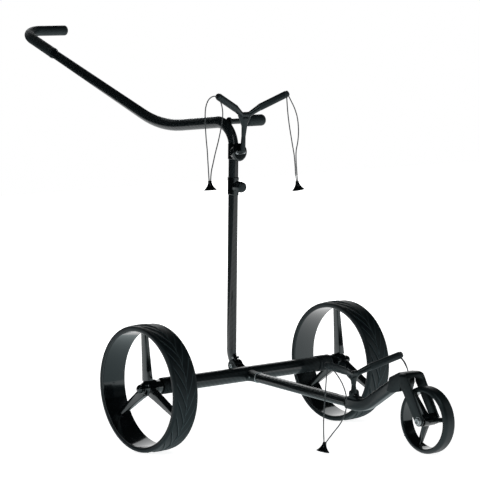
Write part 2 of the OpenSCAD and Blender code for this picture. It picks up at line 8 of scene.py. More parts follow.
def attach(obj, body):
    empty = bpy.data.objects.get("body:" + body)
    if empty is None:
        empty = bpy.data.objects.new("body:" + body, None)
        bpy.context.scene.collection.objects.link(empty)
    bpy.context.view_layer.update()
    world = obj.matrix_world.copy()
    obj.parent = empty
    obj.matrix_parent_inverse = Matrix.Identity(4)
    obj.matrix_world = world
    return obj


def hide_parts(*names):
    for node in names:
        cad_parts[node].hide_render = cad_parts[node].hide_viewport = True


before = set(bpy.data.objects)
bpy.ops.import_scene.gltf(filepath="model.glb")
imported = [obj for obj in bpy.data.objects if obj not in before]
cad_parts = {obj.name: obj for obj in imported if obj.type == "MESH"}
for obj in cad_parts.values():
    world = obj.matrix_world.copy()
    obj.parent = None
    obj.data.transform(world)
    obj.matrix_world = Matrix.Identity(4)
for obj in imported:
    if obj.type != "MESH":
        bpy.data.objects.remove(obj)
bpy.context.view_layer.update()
print("frame loaded")

mm = 0.001
axleY = -98.608  # the main axle lies ahead of the origin


def at(x, y, z):
    return Vector((x * mm, (y + axleY) * mm, z * mm))


def srgb(text):
    parts = [int(text[i:i + 2], 16) / 255 for i in (1, 3, 5)]
    return tuple(p / 12.92 if p <= 0.04045 else ((p + 0.055) / 1.055) ** 2.4 for p in parts) + (1.0,)


def wire(tree, node, inputs):  # a socket is linked, anything else is the input's own value
    for name, value in inputs.items():
        if isinstance(value, bpy.types.NodeSocket):
            tree.links.new(value, node.inputs[name])
        else:
            node.inputs[name].default_value = value
    return node


def addNode(tree, kind, inputs=None, **settings):
    made = tree.nodes.new(kind)
    for key, value in settings.items():
        setattr(made, key, value)
    return wire(tree, made, inputs or {})


# tow, braid and relief are in mm, and the tow is a little coarse so that it shows; the ridge colour is a painted
# highlight for the tyre's raised lines
finish = {"tow": 3.3, "relief": 0.04, "dark": "#030506", "pale": "#10171a", "braid": 0.9, "ridgeHighlight": "#333e41",
          "tint": "#dcf5fa"}


def startMaterial(name):
    made = bpy.data.materials.new(name)
    made.use_nodes = True
    return made, made.node_tree, made.node_tree.nodes["Principled BSDF"]


def grain(name, base, pale, roughness, size, relief, coat=0.0, coatRoughness=0.1, metallic=0.0, spread=0.08,
          stretch=(1, 1, 1), ior=1.5, large=0.05):
    made, tree, shader = startMaterial(name)
    place = addNode(tree, "ShaderNodeTexCoord").outputs["Object"]
    scaled = addNode(tree, "ShaderNodeVectorMath", {0: place, 1: stretch}, operation="MULTIPLY")
    fine = addNode(tree, "ShaderNodeTexNoise", {"Vector": scaled.outputs[0], "Scale": 1 / (size * mm), "Detail": 3.0})
    broad = addNode(tree, "ShaderNodeTexNoise", {"Vector": place, "Scale": 1 / large, "Detail": 2.0})
    both = addNode(tree, "ShaderNodeMath", {0: broad.outputs["Fac"], 1: fine.outputs["Fac"]}, operation="MULTIPLY")
    tone = addNode(tree, "ShaderNodeMix", {0: both.outputs[0], 6: srgb(base), 7: srgb(pale)}, data_type="RGBA")
    rough = addNode(tree, "ShaderNodeMapRange", {"Value": broad.outputs["Fac"], "From Min": 0.3, "From Max": 0.7,
                                                 "To Min": roughness - spread / 2, "To Max": roughness + spread / 2})
    bump = addNode(tree, "ShaderNodeBump", {"Height": fine.outputs["Fac"], "Strength": 1.0, "Distance": relief * mm})
    wire(tree, shader, {"Base Color": tone.outputs[2], "Roughness": rough.outputs[0], "Normal": bump.outputs[0],
                        "Metallic": metallic, "IOR": ior, "Specular Tint": srgb(finish["tint"]),
                        "Coat Weight": coat, "Coat Roughness": coatRoughness})
    return made


def twill(name):  # each tow passes over two and under two, one step further on every row
    made, tree, shader = startMaterial(name)
    place = addNode(tree, "ShaderNodeUVMap", uv_map="UVMap").outputs[0]
    parts = addNode(tree, "ShaderNodeSeparateXYZ", {0: place})
    rows, crowns = [], []
    for i in (0, 1):
        tows = addNode(tree, "ShaderNodeMath", {0: parts.outputs[i], 1: finish["tow"] * mm}, operation="DIVIDE")
        rows.append(addNode(tree, "ShaderNodeMath", {0: tows.outputs[0]}, operation="FLOOR"))
        part = addNode(tree, "ShaderNodeMath", {0: tows.outputs[0]}, operation="FRACT")
        centred = addNode(tree, "ShaderNodeMath", {0: part.outputs[0], 1: 2.0, 2: -1.0}, operation="MULTIPLY_ADD")
        away = addNode(tree, "ShaderNodeMath", {0: centred.outputs[0]}, operation="ABSOLUTE")
        fall = addNode(tree, "ShaderNodeMath", {0: away.outputs[0], 1: 2.5}, operation="POWER")
        crowns.append(addNode(tree, "ShaderNodeMath", {0: 1.0, 1: fall.outputs[0]}, operation="SUBTRACT"))
    cell = addNode(tree, "ShaderNodeMath", {0: rows[0].outputs[0], 1: rows[1].outputs[0]}, operation="ADD")
    lane = addNode(tree, "ShaderNodeMath", {0: cell.outputs[0], 1: 4.0}, operation="FLOORED_MODULO")
    over = addNode(tree, "ShaderNodeMath", {0: lane.outputs[0], 1: 1.5}, operation="LESS_THAN").outputs[0]
    top = addNode(tree, "ShaderNodeMix", {0: over, 2: crowns[1].outputs[0], 3: crowns[0].outputs[0]})
    fibre = addNode(tree, "ShaderNodeTexNoise", {"Vector": place, "Scale": 2200.0, "Detail": 2.0}).outputs["Fac"]
    shine = addNode(tree, "ShaderNodeMath", {0: over, 1: fibre}, operation="MULTIPLY")
    tone = addNode(tree, "ShaderNodeMix", {0: shine.outputs[0], 6: srgb(finish["dark"]), 7: srgb(finish["pale"])},
                   data_type="RGBA")
    rough = addNode(tree, "ShaderNodeMix", {0: over, 2: 0.55, 3: 0.3})
    height = addNode(tree, "ShaderNodeMath", {0: fibre, 1: 0.15, 2: top.outputs[0]}, operation="MULTIPLY_ADD")
    bump = addNode(tree, "ShaderNodeBump", {"Height": height.outputs[0], "Strength": 1.0,
                                            "Distance": finish["relief"] * mm})
    wire(tree, shader, {"Base Color": tone.outputs[2], "Roughness": rough.outputs[0], "Normal": bump.outputs[0],
                        "Metallic": 0.15, "Specular IOR Level": 0.35, "IOR": 1.52,
                        "Specular Tint": srgb(finish["tint"]), "Coat Weight": 1.0, "Coat Roughness": 0.05})
    return made


def braid(name, pitch, dark, pale):
    made, tree, shader = startMaterial(name)
    place = addNode(tree, "ShaderNodeUVMap", uv_map="UVMap").outputs[0]
    parts = addNode(tree, "ShaderNodeSeparateXYZ", {0: place})
    waves = []
    for sign in (1.0, -1.0):  # one wave for each way the yarns wind
        mixed = addNode(tree, "ShaderNodeMath", {0: parts.outputs[0], 1: sign, 2: parts.outputs[1]},
                        operation="MULTIPLY_ADD")
        turns = addNode(tree, "ShaderNodeMath", {0: mixed.outputs[0], 1: 2 * math.pi / (pitch * mm)},
                        operation="MULTIPLY")
        waves.append(addNode(tree, "ShaderNodeMath", {0: turns.outputs[0]}, operation="SINE"))
    height = addNode(tree, "ShaderNodeMath", {0: waves[0].outputs[0], 1: waves[1].outputs[0]}, operation="MULTIPLY")
    level = addNode(tree, "ShaderNodeMath", {0: height.outputs[0], 1: 0.5, 2: 0.5}, operation="MULTIPLY_ADD")
    tone = addNode(tree, "ShaderNodeMix", {0: level.outputs[0], 6: srgb(dark), 7: srgb(pale)}, data_type="RGBA")
    bump = addNode(tree, "ShaderNodeBump", {"Height": height.outputs[0], "Strength": 0.8, "Distance": 0.1 * mm})
    wire(tree, shader, {"Base Color": tone.outputs[2], "Normal": bump.outputs[0], "Roughness": 0.62,
                        "Sheen Weight": 0.3})
    return made


def withRidgeHighlight(made):  # a painted highlight: the rubber's colour is made paler along the tread's raised lines
    tree = made.node_tree
    shader = tree.nodes["Principled BSDF"]
    lineHighlight = addNode(tree, "ShaderNodeAttribute", attribute_name="ridgeHighlight")
    old = shader.inputs["Base Color"].links[0].from_socket
    tone = addNode(tree, "ShaderNodeMix", {0: lineHighlight.outputs["Fac"], 6: old, 7: srgb(finish["ridgeHighlight"])}, data_type="RGBA")
    wire(tree, shader, {"Base Color": tone.outputs[2]})
    return made


def glowing(name, strength):
    made, tree, shader = startMaterial(name)
    spots = addNode(tree, "ShaderNodeTexNoise", {"Scale": 3.0})
    level = addNode(tree, "ShaderNodeMapRange", {"Value": spots.outputs["Fac"], "To Min": strength * 0.94,
                                                 "To Max": strength})
    wire(tree, shader, {"Emission Strength": level.outputs[0], "Emission Color": srgb("#e9f6f8"),
                        "Base Color": srgb("#101112")})
    return made


looks = {
    # lacquered 2x2 carbon twill: fine dark checks under a clear, sharp gloss
    "carbon": twill("carbonTwill"),
    # lacquered carbon moulding without a visible weave: black with a soft, even gloss
    "arm": grain("lacqueredArm", "#05080a", "#0c1113", 0.3, 1.2, 0.015, coat=0.7, coatRoughness=0.12),
    # powder-coated aluminium casting: satin black with a faint orange peel
    "cast": grain("powderCoat", "#06090a", "#0d1214", 0.36, 0.7, 0.025, large=0.03),
    # moulded black nylon: a dull, slightly grainy sheen
    "plastic": grain("nylon", "#06080a", "#0c1012", 0.42, 0.8, 0.02, ior=1.53, large=0.03),
    # polished moulded plastic: clean highlights on small caps, clamps and the mast's foot
    "gloss": grain("glossPlastic", "#030405", "#07090a", 0.12, 2.0, 0.006, coat=0.5, coatRoughness=0.05),
    # glass-filled nylon from a polished mould: deep black with long reflections
    "wheel": grain("glassNylon", "#040607", "#080b0d", 0.11, 1.5, 0.006, spread=0.04, coat=0.6, coatRoughness=0.06),
    # moulded tyre rubber: matt black, with a painted highlight along the tread's raised lines
    "tyre": withRidgeHighlight(grain("tyreRubber", "#080c0e", "#10161a", 0.46, 0.6, 0.03, ior=1.44)),
    # the same kind of rubber with a plain crown
    "smoothTyre": grain("solidRubber", "#090d0f", "#12181a", 0.44, 0.6, 0.025, ior=1.46),
    # foam rubber sleeves: soft and dull, with open pores
    "soft": grain("foamRubber", "#0c1113", "#161d1f", 0.58, 0.5, 0.05, ior=1.5, large=0.02),
    # braided polyester sheath: crossed yarns in dark grey
    "cord": braid("cordSheath", finish["braid"], "#1c2427", "#394346"),
    # brushed stainless steel: pale, with fine brush marks
    "steel": grain("stainless", "#a9b1b3", "#d6dbdc", 0.36, 0.3, 0.006, metallic=1.0, stretch=(1, 1, 0.1), large=0.01),
}
print("materials made")


def link(name, data):
    obj = bpy.data.objects.new(name, data)
    bpy.context.scene.collection.objects.link(obj)
    return obj


def tidy(mesh, sharp=35, recalc=True):
    if recalc:
        work = bmesh.new()
        work.from_mesh(mesh)
        bmesh.ops.recalc_face_normals(work, faces=work.faces)
        work.to_mesh(mesh)
        work.free()
    mesh.shade_smooth()
    mesh.set_sharp_from_angle(angle=math.radians(sharp))
    return mesh


def build(name, verts, faces, uvs=None, sharp=35, recalc=True):
    mesh = bpy.data.meshes.new(name)
    mesh.from_pydata([tuple(v) for v in verts], [], faces)
    if uvs:
        layer = mesh.uv_layers.new(name="UVMap")
        layer.data.foreach_set("uv", np.array([c for f in uvs for c in f], float).ravel())
    return link(name, tidy(mesh, sharp, recalc))


def bake(obj, sharp=35):
    bpy.context.view_layer.update()
    graph = bpy.context.evaluated_depsgraph_get()
    mesh = bpy.data.meshes.new_from_object(obj.evaluated_get(graph))
    obj.modifiers.clear()
    old = obj.data
    obj.data = mesh
    bpy.data.meshes.remove(old)
    tidy(mesh, sharp, False)
    return obj


def bevel(obj, width, segments=3, angle=30, sharp=50):
    mod = obj.modifiers.new("bevel", "BEVEL")
    mod.width = width * mm
    mod.segments = segments
    mod.limit_method = "ANGLE"
    mod.angle_limit = math.radians(angle)
    mod.use_clamp_overlap = True
    return bake(obj, sharp)


def join(name, objs, sharp=35):
    verts, faces = [], []
    for obj in objs:
        start = len(verts)
        verts += [v.co.copy() for v in obj.data.vertices]
        faces += [[start + i for i in p.vertices] for p in obj.data.polygons]
        old = obj.data
        bpy.data.objects.remove(obj)
        bpy.data.meshes.remove(old)
    return build(name, verts, faces, None, sharp)


def oval(a, b, power=2.0, count=48):
    out = []
    for i in range(count):
        c, s = math.cos(2 * math.pi * i / count), math.sin(2 * math.pi * i / count)
        out.append((a * mm * math.copysign(abs(c) ** (2 / power), c),
                    b * mm * math.copysign(abs(s) ** (2 / power), s)))
    return out


def quarter(steps):  # angles of a quarter turn
    return [k * math.pi / 2 / steps for k in range(steps + 1)]


def roundedPath(corners, radii, step=12):
    rough = [corners[0]]
    for i in range(1, len(corners) - 1):
        a, b, c = corners[i - 1], corners[i], corners[i + 1]
        u, w = (b - a).normalized(), (c - b).normalized()
        turn = u.angle(w)
        start = b - u * radii[i] * mm * math.tan(turn / 2)
        axis = u.cross(w).normalized()
        centre = start + axis.cross(u) * radii[i] * mm
        count = max(6, int(math.degrees(turn) / 3))
        for k in range(count + 1):
            rough.append(centre + Matrix.Rotation(turn * k / count, 3, axis) @ (start - centre))
    rough.append(corners[-1])
    path = [rough[0]]
    for a, b in zip(rough, rough[1:]):
        pieces = max(1, int((b - a).length / (step * mm)))
        path += [a.lerp(b, k / pieces) for k in range(1, pieces + 1)]
    return [p for i, p in enumerate(path) if i == 0 or (p - path[i - 1]).length > 1e-6]


def smoothPath(points, per=5):
    ends = [points[0] * 2 - points[1]] + points + [points[-1] * 2 - points[-2]]
    path = []
    for i in range(1, len(ends) - 2):
        a, b, c, d = ends[i - 1:i + 3]
        for k in range(per):
            t = k / per
            path.append(0.5 * (2 * b + (c - a) * t + (2 * a - 5 * b + 4 * c - d) * t * t
                               + (3 * b - a - 3 * c + d) * t ** 3))
    return path + [points[-1]]


def sweep(name, path, section, side=(1, 0, 0), sharp=60):
    rows, dists, total = [], [], 0.0
    lateral = Vector(side)
    for i, p in enumerate(path):
        heading = (path[min(i + 1, len(path) - 1)] - path[max(i - 1, 0)]).normalized()
        lateral = (lateral - heading * lateral.dot(heading)).normalized()
        normal = heading.cross(lateral)
        total += (p - path[i - 1]).length if i else 0.0
        shape = section(total) if callable(section) else section
        rows.append([p + normal * n + lateral * b for n, b in shape])
        dists.append(total)
    count = len(rows[0])
    verts = [v for row in rows for v in row] + [path[0], path[-1]]
    around = [0.0]
    for k in range(count):
        around.append(around[-1] + (rows[0][(k + 1) % count] - rows[0][k]).length)
    faces, uvs = [], []
    for i in range(len(rows) - 1):
        for k in range(count):
            n = (k + 1) % count
            faces.append((i * count + k, i * count + n, (i + 1) * count + n, (i + 1) * count + k))
            uvs.append(((around[k], dists[i]), (around[k + 1], dists[i]),
                        (around[k + 1], dists[i + 1]), (around[k], dists[i + 1])))
    last = (len(rows) - 1) * count
    for k in range(count):
        n = (k + 1) % count
        faces += [(len(verts) - 2, n, k), (len(verts) - 1, last + k, last + n)]
        uvs += [((0, 0),) * 3, ((0, 0),) * 3]
    return build(name, verts, faces, uvs, sharp)


def lathe(name, profile, origin, axis=(1, 0, 0), segments=96, sharp=35):
    axis = Vector(axis).normalized()
    u = axis.orthogonal().normalized()
    w = axis.cross(u)
    verts, rings = [], []
    for r, h in profile:
        base = origin + axis * h * mm
        if r < 1e-6:
            rings.append([len(verts)])
            verts.append(base)
        else:
            rings.append(list(range(len(verts), len(verts) + segments)))
            for k in range(segments):
                t = 2 * math.pi * k / segments
                verts.append(base + (u * math.cos(t) + w * math.sin(t)) * r * mm)
    faces = []
    loop = list(zip(rings, rings[1:]))
    if len(rings[0]) > 1 and len(rings[-1]) > 1:
        loop.append((rings[-1], rings[0]))
    for a, b in loop:
        for k in range(segments):
            n = (k + 1) % segments
            face = [a[k % len(a)], a[n % len(a)], b[n % len(b)], b[k % len(b)]]
            face = [v for i, v in enumerate(face) if v not in face[:i]]
            if len(face) > 2:
                faces.append(face)
    return build(name, verts, faces, None, sharp)


def plate(name, outline, x0, x1, width=0.8, segments=3):
    work = bmesh.new()
    low = [work.verts.new(at(x0, y, z)) for y, z in outline]
    face = work.faces.new(low)
    made = bmesh.ops.extrude_face_region(work, geom=[face])
    for v in made["geom"]:
        if isinstance(v, bmesh.types.BMVert):
            v.co.x = x1 * mm
    mesh = bpy.data.meshes.new(name)
    bmesh.ops.recalc_face_normals(work, faces=work.faces)
    work.to_mesh(mesh)
    work.free()
    return bevel(link(name, mesh), width, segments) if width else link(name, tidy(mesh))


def hull(points):
    work = bmesh.new()
    for centre, r in points:
        ball = bmesh.ops.create_icosphere(work, subdivisions=3, radius=r * mm)
        bmesh.ops.translate(work, verts=ball["verts"], vec=centre)
    made = bmesh.ops.convex_hull(work, input=work.verts)
    inside = [g for g in made["geom_interior"] if isinstance(g, bmesh.types.BMVert)]
    bmesh.ops.delete(work, geom=inside, context="VERTS")
    mesh = bpy.data.meshes.new("hull")
    work.to_mesh(mesh)
    work.free()
    return link("hull", mesh)


def cast(name, parts, voxel=1.1, rounds=8, sharp=70):
    obj = join(name, parts)
    mod = obj.modifiers.new("remesh", "REMESH")
    mod.mode = "VOXEL"
    mod.voxel_size = voxel * mm
    mod.use_smooth_shade = True
    mod = obj.modifiers.new("smooth", "SMOOTH")
    mod.iterations = rounds
    mod.factor = 0.5
    return bake(obj, sharp)


def boolean(obj, other, operation="DIFFERENCE", sharp=35):
    mod = obj.modifiers.new("cut", "BOOLEAN")
    mod.operation = operation
    mod.object = other
    mod.solver = "EXACT"
    bake(obj, sharp)
    bpy.data.objects.remove(other)
    return obj


def mirrored(obj, name):
    verts = [Vector((-v.co.x, v.co.y, v.co.z)) for v in obj.data.vertices]
    faces = [list(reversed(p.vertices)) for p in obj.data.polygons]
    made = build(name, verts, faces)
    if obj.data.uv_layers:
        layer = made.data.uv_layers.new(name="UVMap")
        old = obj.data.uv_layers[0].data
        where = {}
        for p in obj.data.polygons:
            for li in p.loop_indices:
                where[(p.index, obj.data.loops[li].vertex_index)] = old[li].uv.copy()
        for p in made.data.polygons:
            for li in p.loop_indices:
                layer.data[li].uv = where[(p.index, made.data.loops[li].vertex_index)]
    return made


def place(obj, look, body, slot, *nodes):
    obj.data.materials.clear()
    obj.data.materials.append(looks[look])
    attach(obj, body)
    if nodes:
        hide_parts(*nodes)
    return obj


# One node group turns a piece round an X axis or steps it along: spokes and ribs use it
def ringGroup():
    tree = bpy.data.node_groups.new("ringArray", "GeometryNodeTree")
    face = tree.interface
    face.new_socket("Geometry", in_out="INPUT", socket_type="NodeSocketGeometry")
    ids = {n: face.new_socket(n, in_out="INPUT", socket_type=t).identifier
           for n, t in (("Count", "NodeSocketInt"), ("Centre", "NodeSocketVector"), ("Step", "NodeSocketVector"),
                        ("Turn", "NodeSocketFloat"), ("Material", "NodeSocketMaterial"))}
    face.new_socket("Geometry", in_out="OUTPUT", socket_type="NodeSocketGeometry")
    start = addNode(tree, "NodeGroupInput")
    index = addNode(tree, "GeometryNodeInputIndex").outputs[0]
    away = addNode(tree, "ShaderNodeVectorMath", {0: start.outputs["Centre"], "Scale": -1.0}, operation="SCALE")
    local = addNode(tree, "GeometryNodeTransform", {"Geometry": start.outputs[0], "Translation": away.outputs[0]})
    offset = addNode(tree, "ShaderNodeVectorMath", {0: start.outputs["Step"], "Scale": index}, operation="SCALE")
    spot = addNode(tree, "ShaderNodeVectorMath", {0: start.outputs["Centre"], 1: offset.outputs[0]}, operation="ADD")
    dots = addNode(tree, "GeometryNodePoints", {"Count": start.outputs["Count"], "Position": spot.outputs[0]})
    angle = addNode(tree, "ShaderNodeMath", {0: start.outputs["Turn"], 1: index}, operation="MULTIPLY")
    spin = addNode(tree, "ShaderNodeCombineXYZ", {"X": angle.outputs[0]})
    copies = addNode(tree, "GeometryNodeInstanceOnPoints", {"Points": dots.outputs[0], "Instance": local.outputs[0],
                                                            "Rotation": spin.outputs[0]})
    real = addNode(tree, "GeometryNodeRealizeInstances", {"Geometry": copies.outputs[0]})
    coat = addNode(tree, "GeometryNodeSetMaterial", {"Geometry": real.outputs[0],
                                                     "Material": start.outputs["Material"]})
    addNode(tree, "NodeGroupOutput", {0: coat.outputs[0]})
    return tree, ids


ringTree, ringIds = ringGroup()


def repeat(obj, count, centre, look, turn=None, step=(0, 0, 0)):
    mod = obj.modifiers.new("ring", "NODES")
    mod.node_group = ringTree
    mod[ringIds["Count"]] = count
    mod[ringIds["Centre"]] = tuple(centre)
    mod[ringIds["Step"]] = tuple(s * mm for s in step)
    mod[ringIds["Turn"]] = 2 * math.pi / count if turn is None else turn
    mod[ringIds["Material"]] = looks[look]
    return bake(obj)


camera = {"azimuth": -38.66812, "elevation": 3.08893, "roll": -3.47941, "distance": 5150.48,
          "lens": 165.88, "shiftX": -0.00106, "shiftY": 0.0517, "height": 400}


def makeCamera():
    az, el, roll = (math.radians(camera[k]) for k in ("azimuth", "elevation", "roll"))
    back = Vector((math.sin(az) * math.cos(el), -math.cos(az) * math.cos(el), math.sin(el)))
    right = Vector((math.cos(az), math.sin(az), 0))
    up = back.cross(right)
    side = right * math.cos(roll) + up * math.sin(roll)
    top = up * math.cos(roll) - right * math.sin(roll)
    data = bpy.data.cameras.new("viewCamera")
    data.lens, data.sensor_width = camera["lens"], 36
    data.shift_x, data.shift_y = camera["shiftX"], camera["shiftY"]
    data.dof.use_dof = False
    data.clip_start, data.clip_end = 0.1, 60
    obj = link("viewCamera", data)
    matrix = Matrix((side, top, back)).transposed().to_4x4()
    matrix.translation = at(0, 0, camera["height"]) + back * camera["distance"] * mm
    obj.matrix_world = matrix
    bpy.context.scene.camera = obj


makeCamera()
print("camera placed")


cordStyle = {"diameter": 2.6, "sides": 12}
stop = {"rim": 14.5, "neck": 4.2, "height": 21}

# each strand runs from its arm's end to its stop, in mm from the floor point under the axle
routes = {
    "upperRight": {
        "body": "upper_rest", "node": "upper_cords_right", "stopNode": "upper_stop_right", "tilt": (0, 0),
        "outer": [(-104, -84, 790), (-117, -84, 791), (-130, -84, 784), (-139, -84, 769), (-143, -84, 748),
                  (-144, -84, 723), (-144, -84, 697), (-143, -84, 671), (-143, -84, 645), (-143, -84, 620),
                  (-143, -84, 600)],
        "inner": [(-100, -84, 784), (-94, -84, 772), (-92, -84, 752), (-96, -84, 730), (-103, -84, 708),
                  (-111, -84, 686), (-120, -84, 664), (-128, -84, 642), (-135, -84, 622), (-139, -84, 600)]},
    "upperLeft": {
        "body": "upper_rest", "node": "upper_cords_left", "stopNode": "upper_stop_left", "tilt": (0, -7),
        "outer": [(104, -84, 788), (113, -84, 772), (122, -84, 755), (128, -84, 736), (130, -84, 716),
                  (129, -84, 696), (125, -84, 676), (119, -84, 657), (117, -84, 636), (117, -84, 610),
                  (118, -84, 585)],
        "inner": [(100, -84, 783), (100, -84, 760), (101, -84, 737), (103, -84, 714), (106, -84, 691),
                  (109, -84, 669), (112, -84, 648), (113, -84, 624), (113, -84, 604), (114, -84, 585)]},
    "lowerRight": {
        "body": "lower_rest", "node": "lower_cords_right", "stopNode": "lower_stop_right", "tilt": (8, 14),
        "outer": [(-108, -413, 186), (-111, -411, 165), (-113, -409, 143), (-115, -407, 120), (-117, -405, 98),
                  (-119, -403, 74), (-120, -402, 50), (-120, -401, 25)],
        "inner": [(-104, -416, 187), (-95, -422, 177), (-87, -430, 158), (-83, -437, 137), (-83, -441, 116),
                  (-87, -440, 92), (-95, -432, 68), (-106, -417, 46), (-116, -402, 25)]},
    "lowerLeft": {
        "body": "lower_rest", "node": "lower_cords_left", "stopNode": "lower_stop_left", "tilt": (0, 0),
        "outer": [(108, -415, 186), (111, -422, 176), (112, -428, 162), (113, -431, 141), (113, -432, 118),
                  (113, -432, 95), (112, -431, 72), (111, -430, 52), (111, -429, 33)],
        "inner": [(104, -417, 187), (104, -428, 176), (105, -437, 159), (106, -441, 138), (107, -444, 116),
                  (108, -443, 94), (108, -438, 72), (107, -432, 52), (107, -429, 33)]},
}


def makeStop(name, spot, tilt):
    turnY, turnX = (Matrix.Rotation(math.radians(a), 3, way) for a, way in ((tilt[1], "Y"), (tilt[0], "X")))
    rim, neck, high = stop["rim"], stop["neck"], stop["height"]
    steps = 14
    flare = [(neck + (rim - neck) * (k / steps) ** 2.1, (high - 1.8) * k / steps) for k in range(steps + 1)]
    lip = [(rim + 0.1, high - 1.2), (rim - 0.3, high - 0.2), (rim - 1.2, high)]
    under = [(rim - 2.2, high - 0.6), (9, high - 3.5), (4, high - 5), (0, high - 5.2)]
    profile = [(0, -1.2), (2.6, -1.2), (3.7, -0.7)] + flare + lip + under
    return lathe(name, profile, spot, turnY @ turnX @ Vector((0, 0, -1)), 64, 50)


def makeCords():
    ring = oval(cordStyle["diameter"] / 2, cordStyle["diameter"] / 2, 2, cordStyle["sides"])
    for name, route in routes.items():
        ends = [Vector(route[k][-1]) for k in ("outer", "inner")]
        middle = (ends[0] + ends[1]) / 2
        cone = makeStop(name + "Stop", at(middle.x, middle.y, middle.z + 1), route["tilt"])
        place(cone, "gloss", route["body"], "cord_stop", route["stopNode"])
        for which in ("outer", "inner"):
            path = smoothPath([at(*p) for p in route[which]])
            strand = sweep(name + which.capitalize() + "Cord", path, ring, (0, 1, 0))
            place(strand, "cord", route["body"], "elastic_cord", route["node"])
            length = sum((b - a).length for a, b in zip(path, path[1:]))
            tuple(path[0])
            [tuple(p) for p in path]


makeCords()
print("cords hung")


# half sizes of the oval section, its lean, and the corners of the bent handle
tube = {"depth": 14, "width": 9.5, "lean": 6.46, "runZ": 734.6, "topY": -7.6, "rearY": 273.4, "rise": 25.2,
        "slope": 646, "topBend": 56, "rearBend": 350, "butt": 572, "foot": 200.6, "neck": 11.4, "taper": 79}
grip = {"radius": 13.3, "bend": 60, "reach": 142, "start": 485, "lip": 0.7, "round": 5}
axle = {"radius": 17.5, "half": 213, "height": 145, "rib": 221.6, "ribs": 7, "pitch": 4.3}
boom = {"fall": 7.43, "start": (-45.5, 137.1), "jointY": -352, "corner": (-406.6, 90), "rise": 27.9, "arm": 118,
        "bend": 90}


def direction(angle):
    return Vector((0, math.cos(math.radians(angle)), math.sin(math.radians(angle))))


lean, fall = math.radians(tube["lean"]), math.radians(boom["fall"])
mastUp = Vector((0, -math.sin(lean), math.cos(lean)))
mastFront = Vector((0, -math.cos(lean), -math.sin(lean)))
boomDown = Vector((0, -math.cos(fall), -math.sin(fall)))
boomStart = at(0, *boom["start"])
boomJoint = boomStart + boomDown * (boom["start"][0] - boom["jointY"]) * mm / math.cos(fall)
slopeUp = direction(tube["rise"])
topCorner = at(0, tube["topY"], tube["runZ"])
rearCorner = at(0, tube["rearY"], tube["runZ"])
gripCorner = rearCorner + slopeUp * tube["slope"] * mm


def onMast(z):
    return topCorner - mastUp * (tube["runZ"] - z) * mm / math.cos(lean)


def makeTubes():
    butt = onMast(tube["butt"])
    mast = sweep("mastTube", roundedPath([onMast(tube["foot"]), butt], [0, 0]), oval(tube["depth"], tube["width"]))
    place(mast, "carbon", "mast", "carbon_tube", "mast_tube")
    end = rearCorner + slopeUp * (grip["start"] + 6) * mm
    path = roundedPath([butt + mastUp * 0.3 * mm, topCorner, rearCorner, end],
                       [0, tube["topBend"], tube["rearBend"], 0])
    total = sum((b - a).length for a, b in zip(path, path[1:]))
    taper = (grip["start"] - tube["taper"]) * mm

    def shape(s):  # the oval turns round towards the grip
        t = max(0.0, min(1.0, (s - (total - taper)) / taper))
        return oval(*(tube[k] + (tube["neck"] - tube[k]) * t for k in ("depth", "width")))

    place(sweep("handleTube", path, shape), "carbon", "handle", "carbon_tube", "handle_tube", "handle_slope")
    ends = [at(s * axle["half"], 0, axle["height"]) for s in (-1, 1)]
    cross = sweep("axleTube", roundedPath(ends, [0, 0]), oval(axle["radius"], axle["radius"]), (0, 1, 0))
    place(cross, "carbon", "chassis", "carbon_tube", "axle_tube")
    centre = sweep("centreTube", roundedPath([boomStart, boomJoint], [0, 0]), oval(11, 14, 2.4))
    place(centre, "carbon", "chassis", "carbon_tube", "centre_tube")
    corner = at(0, *boom["corner"])
    far = corner + direction(180 - boom["rise"]) * boom["arm"] * mm
    arm = sweep("frontArm", roundedPath([boomJoint, corner, far], [0, boom["bend"], 0], 6),
                lambda s: oval(13.5 - 6 * max(0, s - 0.09), 11.5, 5.5, 96))
    place(arm, "arm", "chassis", "carbon_tube", "front_arm")


def makeGrip():
    begin = rearCorner + slopeUp * grip["start"] * mm
    end = gripCorner + Vector((grip["reach"] * mm, 0, 0))
    path = roundedPath([begin, gripCorner, end], [0, grip["bend"], 0], 5)
    total = sum((b - a).length for a, b in zip(path, path[1:]))
    path = path[:-1] + [path[-1] - Vector((k * mm, 0, 0)) for k in (4.5, 3.5, 2.5, 1.6, 0.9, 0.4, 0.12, 0)]
    path = [p for i, p in enumerate(path) if i == 0 or p.x >= path[i - 1].x - 1e-9]

    def shape(s):  # a rounded end and a thin lip where the sleeve begins
        left, q = total - s, grip["round"]
        r = grip["radius"]
        if left < q * mm:
            r = grip["radius"] - q + q * math.sqrt(max(0, 1 - (1 - left / (q * mm)) ** 2))
        if s < 8 * mm:
            r += grip["lip"] * min(1, s / mm + 0.4)
        return oval(r, r, 2, 64)

    place(sweep("gripSleeve", path, shape, sharp=40), "soft", "handle", "soft_rubber", "grip")


makeTubes()
makeGrip()
print("tubes and grip made")


wheel = {"radius": 145, "width": 65, "x": 288, "opening": 132, "hub": 20, "button": 10.4, "spokes": 3,
         "rootWidth": 23, "tipWidth": 14, "rootDepth": 15, "tipDepth": 11}
tread = {"chevrons": 24, "depth": 1.5, "slope": 2.3, "band": 26, "rib": 0.5, "root": 140}
nose = {"radius": 72, "width": 31, "y": -602, "opening": 61, "round": 8, "spokes": 3, "firstSpoke": 57}


